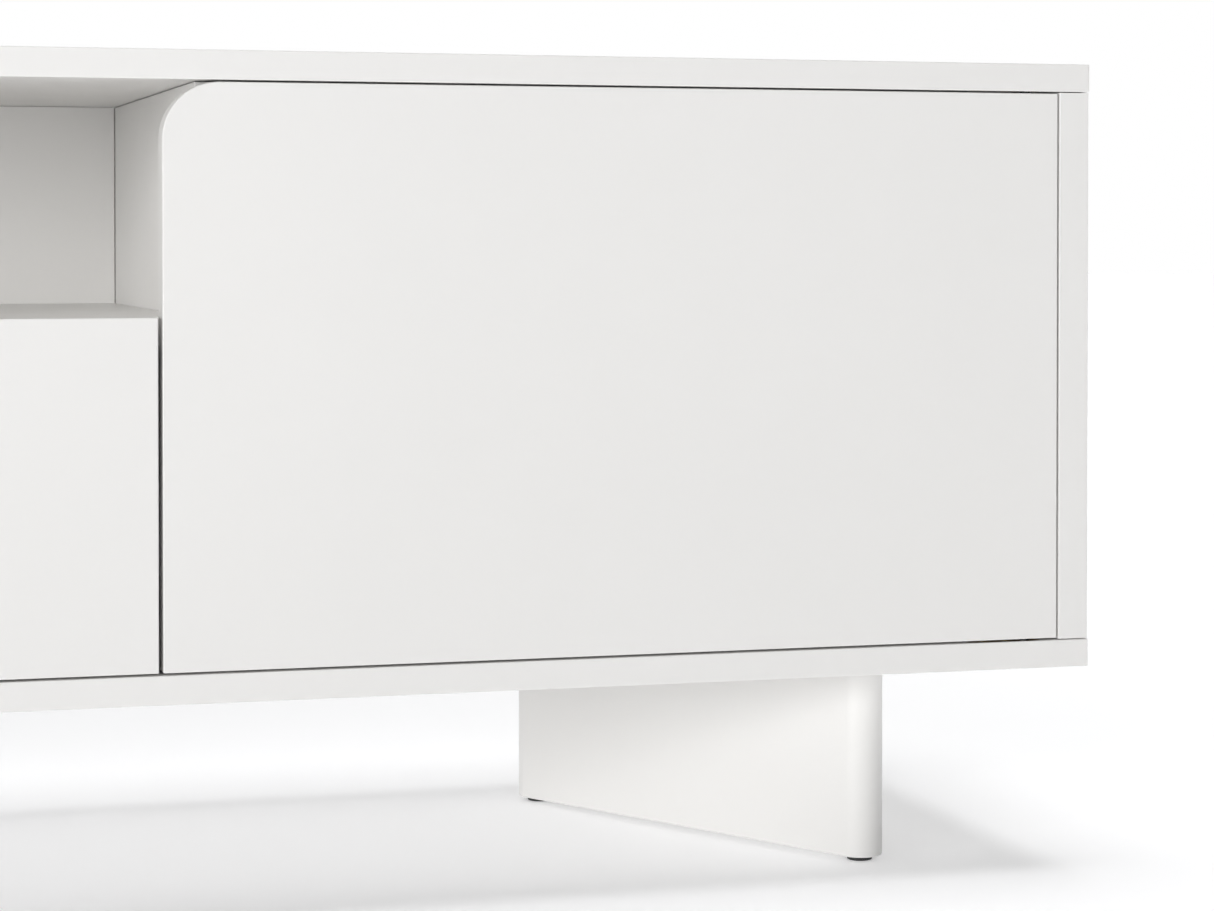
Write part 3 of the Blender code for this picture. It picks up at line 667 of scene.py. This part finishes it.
def make_catches():
    """A cupped magnet in each partition's front edge, and a dished strike plate on each door's back."""
    for side in SIDES:
        node = "catch_magnet_" + side
        low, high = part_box(node)
        centre = middle(node)
        r, length = (high.x - low.x) / 2, high.y - low.y
        tail, rim, dish = 0.4 * MM, 0.5 * MM, 0.3 * MM
        profile = [(0, 0), (r - tail, 0)] + arc((r - tail, tail), tail, -pi / 2, 0, 4)
        profile += arc((r - rim, length - rim), rim, 0, pi / 2, 4)
        profile += [(r * 0.55, length), (r * 0.5, length - dish), (0, length - dish)]
        finish(lathe("fine_" + node, profile, (centre.x, high.y, centre.z), "Y", True, 48), node)

        node = "strike_plate_" + side
        low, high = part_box(node)
        centre = middle(node)
        r, thick = (high.x - low.x) / 2, high.y - low.y
        edge, dish = 0.3 * MM, 0.7 * MM
        profile = [(0, 0), (r, 0), (r, thick - edge), (r - edge, thick), (r * 0.42, thick),
                   (r * 0.2, thick - dish), (0, thick - dish)]
        finish(lathe("fine_" + node, profile, (centre.x, low.y, centre.z), "Y", False, 48), node)


def make_bumpers():
    """Domed pads on the backs of the doors and of the drawer front."""
    for node in [f"{front}_bumper_{side}" for front in ("door", "drawer") for side in SIDES]:
        low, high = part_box(node)
        centre = middle(node)
        r, thick = (high.x - low.x) / 2, high.y - low.y
        profile = [(0, 0), (r, 0)] + dome(r, 0.35 * thick, thick, 10)
        finish(lathe("fine_" + node, profile, (centre.x, high.y, centre.z), "Y", True, 48), node)


def make_hinge_plate(side, level, kind):
    """A leaf with its pin in a door's edge, or a socket plate with its bush in a board, and two screws."""
    node = f"pivot_{kind}_{side}_{level}"
    pivot = PIVOT[side + "_door"]
    low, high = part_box(node)
    up = 1 if level == "top" else -1
    near, far = (low.z, high.z) if up > 0 else (high.z, low.z)
    overlap = 1 * MM
    if kind == "leaf":
        outward, seat = up, near
    else:
        outward, seat = -up, near + up * LEAF_THICKNESS
    show = seat + outward * LEAF_THICKNESS
    bm = bmesh.new()
    add_plate(bm, node, pivot.y, seat, outward * LEAF_THICKNESS, steps=14)
    bmesh.ops.recalc_face_normals(bm, faces=bm.faces)
    round_edges(bm, edges_between(bm, 2, show), PLATE_ROUND, 2)
    plate = raw_object("fine_" + node, bm)

    # The pin starts inside its leaf, and the bush inside its plate.
    radius, start = (PIVOT_PIN_RADIUS, seat) if kind == "leaf" else (BUSH_RADIUS, show)
    inside = start + up * overlap
    stem = bmesh.new()
    add_rod(stem, radius, (pivot.x, pivot.y, (inside + far) / 2), abs(far - start) - overlap, "Z", 48)
    carve(plate, stem, "UNION")

    cuts = bmesh.new()
    if kind == "socket":
        add_bore(cuts, BUSH_BORE_RADIUS, (pivot.x, pivot.y, show), BUSH_BORE_DEPTH, "Z", -outward)
    screws = [pivot.x - SIDES[side] * distance for distance in PLATE_SCREWS]
    for x in screws:
        add_bore(cuts, SCREW_RECESS_RADIUS, (x, pivot.y, show), SCREW_RECESS_DEPTH, "Z", -outward, 32)
    carve(plate, cuts)
    finish(plate, node)
    for n, x in enumerate(screws):
        place = (x, pivot.y, show - outward * SCREW_SEAT_DEPTH)
        make_screw(f"{node}_screw_{n + 1}", place, "Z", outward < 0, body=BODY_OF[node], **PLATE_SCREW)


def make_pivots():
    """The pivot hinges: a leaf and a socket plate at the top and bottom of each door."""
    for side in SIDES:
        for level in ("top", "bottom"):
            for kind in ("leaf", "socket"):
                make_hinge_plate(side, level, kind)


def make_screw(name, seat, axis, flip, radius, rise, body):
    """A domed screw head with a cross recess, standing on its seat."""
    sunk = 0.02 * MM
    profile = [(0, -sunk), (radius, -sunk)] + dome(radius, 0.4 * rise, rise, 8)
    head = lathe(name, profile, seat, axis, flip, 32)
    cross = bmesh.new()
    arm, width, depth = radius * 0.62, radius * 0.18, rise * 0.75
    turn = AXIS_TURN[axis]
    if flip:
        turn = turn @ Matrix.Rotation(pi, 4, "X")
    for half_x, half_y in ((arm, width), (width, arm)):
        add_box(cross, (-half_x, -half_y, rise - depth), (half_x, half_y, rise + 1 * MM))
    bmesh.ops.transform(cross, matrix=Matrix.Translation(seat) @ turn, verts=cross.verts)
    carve(head, cross)
    finish(head, name, stands_for=[], slot="steel", body=body)


def make_back_screws():
    """Pan-head screws through the back board into the rear edges of the partitions and the niche floor."""
    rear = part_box("back_panel")[1].y
    partition_low, partition_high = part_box("partition_right")
    column = (partition_low.x + partition_high.x) / 2
    margin = 40 * MM
    levels = (partition_low.z + margin, middle("partition_right").z, partition_high.z - margin)
    places = [(sign * column, z) for sign in SIDES.values() for z in levels]
    places += [(sign * column / 3, middle("niche_shelf").z) for sign in SIDES.values()]
    for n, (x, z) in enumerate(places):
        make_screw(f"back_screw_{n + 1}", (x, rear, z), "Y", False, body="carcass", **PAN_SCREW)


# ---------------------------------------------------------------- drawer and runners

def make_drawer_box():
    """Sides and back with grooves for the bottom, and the bottom itself."""
    floor_low, floor_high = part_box("drawer_bottom")
    groove = (floor_low.z - TOUCH, floor_high.z + TOUCH)
    for side, sign in SIDES.items():
        node = "drawer_side_" + side
        low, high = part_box(node)
        inner = low.x if sign > 0 else high.x
        obj = raw_object("fine_" + node, rounded_box(low, high, BOARD_ROUND, 3))
        tools = bmesh.new()
        x0, x1 = sorted((inner - sign * CUT_BEYOND, inner + sign * GROOVE))
        add_box(tools, (x0, low.y - CUT_BEYOND, groove[0]), (x1, high.y - GROOVE_STOP, groove[1]))
        carve(obj, tools)
        finish(obj, node)
    low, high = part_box("drawer_back")
    back = raw_object("fine_drawer_back", rounded_box(low, high, BOARD_ROUND, 3))
    tools = bmesh.new()
    add_box(tools, (low.x - CUT_BEYOND, low.y - CUT_BEYOND, groove[0]),
            (high.x + CUT_BEYOND, floor_high.y + TOUCH, groove[1]))
    carve(back, tools)
    finish(back, "drawer_back")

    # The bottom's front corners are notched where the front's groove ends.
    low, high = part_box("drawer_bottom")
    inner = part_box("drawer_side_right")[0].x - TOUCH
    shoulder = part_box("drawer_side_right")[0].y
    bm = bmesh.new()
    outline = [(low.x, shoulder), (-inner, shoulder), (-inner, low.y), (inner, low.y), (inner, shoulder),
               (high.x, shoulder), (high.x, high.y), (low.x, high.y)]
    face = bm.faces.new([bm.verts.new((x, y, low.z)) for x, y in outline])
    lift(bm, face, Vector((0, 0, high.z - low.z)))
    finish(raw_object("fine_drawer_bottom", bm), "drawer_bottom")


def rail_outline(web, flange, half):
    """A C section in (x, z) with rounded outer corners; the flanges reach from the web to flange."""
    g = RAIL_GAUGE
    way = 1 if flange > web else -1
    r = 1.2 * MM    # the outer bends
    turns = [pi / 2 * (1 - i / 5) for i in range(6)]
    outer_low = [(web + way * (r - r * sin(a)), -half + r - r * cos(a)) for a in turns]
    outer_high = [(x, -z) for x, z in reversed(outer_low)]
    inner = [(flange, -half + g), (web + way * g, -half + g), (web + way * g, half - g), (flange, half - g)]
    return outer_low + [(flange, -half)] + inner + [(flange, half)] + outer_high


def make_rail(node, web_outside):
    """A rolled rail, whose web lies away from the drawer if web_outside; returns its web and level."""
    low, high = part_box(node)
    outward = 1 if low.x > 0 else -1
    near, far = (low.x, high.x) if outward > 0 else (high.x, low.x)
    web, flange = (far, near) if web_outside else (near, far)
    half = (high.z - low.z) / 2
    level = (high.z + low.z) / 2
    bm = bmesh.new()
    outline = rail_outline(web, flange, half)
    face = bm.faces.new([bm.verts.new((x, low.y, level + z)) for x, z in outline])
    lift(bm, face, Vector((0, high.y - low.y, 0)))
    bmesh.ops.recalc_face_normals(bm, faces=bm.faces)
    obj = raw_object("fine_" + node, bm)
    tools = bmesh.new()
    through = 10 * MM
    for y in rail_screw_places(low.y, high.y):
        add_rod(tools, RAIL_SCREW_HOLE, (web, y, level), through, "X", 24)
    for y in (low.y + RAIL_LIGHT_HOLE_INSET, (low.y + high.y) / 2, high.y - RAIL_LIGHT_HOLE_INSET):
        for rise in (RAIL_LIGHT_HOLE_RISE, -RAIL_LIGHT_HOLE_RISE):
            add_rod(tools, RAIL_LIGHT_HOLE, (web, y, level + rise), through, "X", 24)
    carve(obj, tools)
    finish(obj, node)
    return web, level


def rail_screw_places(y0, y1):
    """Where the screws sit along a rail."""
    return [y0 + 30 * MM, (y0 + y1) / 2 + 20 * MM, y1 - 30 * MM]


def make_runners():
    """Both members of each runner with their screws, and the packing strips behind them."""
    for side, sign in SIDES.items():
        for member, web_outside, facing in (("cabinet", True, -sign), ("drawer", False, sign)):
            node = f"{member}_rail_{side}"
            web, level = make_rail(node, web_outside)
            low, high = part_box(node)
            for n, y in enumerate(rail_screw_places(low.y, high.y)):
                seat = (web + facing * RAIL_GAUGE, y, level)
                make_screw(f"{node}_screw_{n + 1}", seat, "X", facing < 0, body=BODY_OF[node], **PAN_SCREW)
        board("rail_packing_" + side, INNER_ROUND, segments=2)


# ---------------------------------------------------------------- floor, light, camera

SKY_STRENGTH = 0.03
# The floor's painted glow, a light of its own: it lightens the shadow under the stand and whitens the floor
# further out.
GLOW_NEAR = 0.22
GLOW_FAR = 0.42
GLOW_START = 0.4        # metres from the origin
GLOW_END = 1.7
CAMERA_PLACE = (0.0425, -2.0259, 0.4157)
CAMERA_LENS = 89.87
CAMERA_DROP = 1.0       # degrees below the horizon
CAMERA_TURN = 16.241    # degrees to the right of straight ahead
CAMERA_SHIFT = -0.1362


def make_floor():
    """A pale floor with a painted glow: weaker near the stand, where it lightens the shadow under it, and
    stronger further out, so that it runs into a white background.
    """
    bm = bmesh.new()
    bmesh.ops.create_grid(bm, x_segments=1, y_segments=1, size=30)
    floor = raw_object("studio_floor", bm)
    material, tree, shader = new_material("pale_floor")
    clouded_color(tree, shader, (0.926, 0.928, 0.940), 0.003, 2)
    clouded_roughness(tree, shader, 0.85, 0.95, 8)
    shader.inputs["Specular IOR Level"].default_value = 0.1
    shader.inputs["Emission Color"].default_value = (1, 1, 1, 1)
    # Painted light: the floor's glow grows with the distance from the origin.
    coords = tree.nodes.new("ShaderNodeTexCoord")
    distance = tree.nodes.new("ShaderNodeVectorMath")
    distance.operation = "LENGTH"
    glow = tree.nodes.new("ShaderNodeMapRange")
    glow.interpolation_type = "SMOOTHSTEP"
    glow.inputs["From Min"].default_value = GLOW_START
    glow.inputs["From Max"].default_value = GLOW_END
    glow.inputs["To Min"].default_value = GLOW_NEAR
    glow.inputs["To Max"].default_value = GLOW_FAR
    tree.links.new(coords.outputs["Object"], distance.inputs[0])
    tree.links.new(distance.outputs["Value"], glow.inputs["Value"])
    tree.links.new(glow.outputs["Result"], shader.inputs["Emission Strength"])
    floor.data.materials.append(material)


def add_lamp(name, light, toward, place=(0, 0, 0)):
    """A lamp whose light arrives from the direction toward."""
    lamp = bpy.data.objects.new(name, light)
    lamp.location = place
    lamp.rotation_mode = "QUATERNION"
    lamp.rotation_quaternion = Vector(toward).to_track_quat("Z", "Y")
    lamp.visible_camera = False
    bpy.context.scene.collection.objects.link(lamp)
    return lamp


def make_sun(name, azimuth, elevation, strength, angle, color=(1, 1, 1)):
    """A soft sun; azimuth 0 shines from the front (-Y), 90 from the right (+X)."""
    light = bpy.data.lights.new(name, "SUN")
    light.color = color
    light.energy = strength
    light.angle = radians(angle)
    a, e = radians(azimuth), radians(elevation)
    return add_lamp(name, light, (sin(a) * cos(e), -cos(a) * cos(e), sin(e)))


def make_softbox(name, place, aim, width, height, power):
    """A rectangular lamp at a place, aimed at a point."""
    light = bpy.data.lights.new(name, "AREA")
    light.shape = "RECTANGLE"
    light.size = width
    light.size_y = height
    light.energy = power
    add_lamp(name, light, Vector(place) - Vector(aim), place)


def make_niche_fill():
    """A broad, slightly warm light from the front that falls only on the pieces around the niche."""
    lamp = make_sun("niche_fill", azimuth=-20, elevation=5, strength=1.85, angle=120,
                    color=(1.0, 0.972, 0.955))
    lit = bpy.data.collections.new("niche_pieces")
    for node in ("partition_left", "partition_right", "back_panel", "niche_shelf"):
        lit.objects.link(bpy.data.objects["fine_" + node])
    lamp.light_linking.receiver_collection = lit


def make_world():
    """An even pale sky: pure white behind the object, and dimmer as a light on it."""
    world = bpy.data.worlds.new("studio_sky")
    world.use_nodes = True
    tree = world.node_tree
    tree.nodes.clear()
    out = tree.nodes.new("ShaderNodeOutputWorld")
    path = tree.nodes.new("ShaderNodeLightPath")
    mix = tree.nodes.new("ShaderNodeMixShader")
    tree.links.new(path.outputs["Is Camera Ray"], mix.inputs["Fac"])
    for slot, strength in ((1, SKY_STRENGTH), (2, 1.0)):
        background = tree.nodes.new("ShaderNodeBackground")
        background.inputs["Color"].default_value = (1, 1, 1, 1)
        background.inputs["Strength"].default_value = strength
        tree.links.new(background.outputs["Background"], mix.inputs[slot])
    tree.links.new(mix.outputs["Shader"], out.inputs["Surface"])
    bpy.context.scene.world = world


def make_studio():
    """Floor, sky and the lights that fall on everything."""
    make_floor()
    make_world()
    make_sun("overhead_light", azimuth=0, elevation=89, strength=1.42, angle=30)
    make_sun("rear_light", azimuth=180, elevation=25, strength=1.0, angle=90)
    make_sun("front_left_light", azimuth=-35, elevation=15, strength=0.2, angle=40)
    make_softbox("left_softbox", place=(-4.8, -3.2, 0.9), aim=(0, 0, 0.3), width=1.6, height=1.2, power=91)
    make_softbox("front_left_softbox", place=(-3.2, -4.6, 1.2), aim=(0, 0, 0.3), width=1.6, height=1.6,
                 power=43)
    make_softbox("front_softbox", place=(0.1, -2.6, 0.7), aim=(0.3, 0, 0.3), width=1.2, height=0.8, power=9)
    bpy.context.scene.view_settings.view_transform = "Standard"


def make_camera():
    """The photograph's viewpoint: low, left of the right bay, nearly level, with the picture shifted down."""
    data = bpy.data.cameras.new("camera")
    data.sensor_width = 36
    data.lens = CAMERA_LENS
    data.shift_y = CAMERA_SHIFT
    data.clip_start = 0.05
    data.clip_end = 100
    camera = bpy.data.objects.new("camera", data)
    camera.location = CAMERA_PLACE
    camera.rotation_euler = (radians(90 - CAMERA_DROP), 0, radians(-CAMERA_TURN))
    bpy.context.scene.collection.objects.link(camera)
    bpy.context.scene.camera = camera


# ---------------------------------------------------------------- assembly

make_camera()
make_studio()
make_carcass()
make_fronts()
make_legs()
make_bolts()
make_shelf_pins()
make_catches()
make_bumpers()
make_pivots()
make_back_screws()
make_drawer_box()
make_runners()
make_niche_fill()
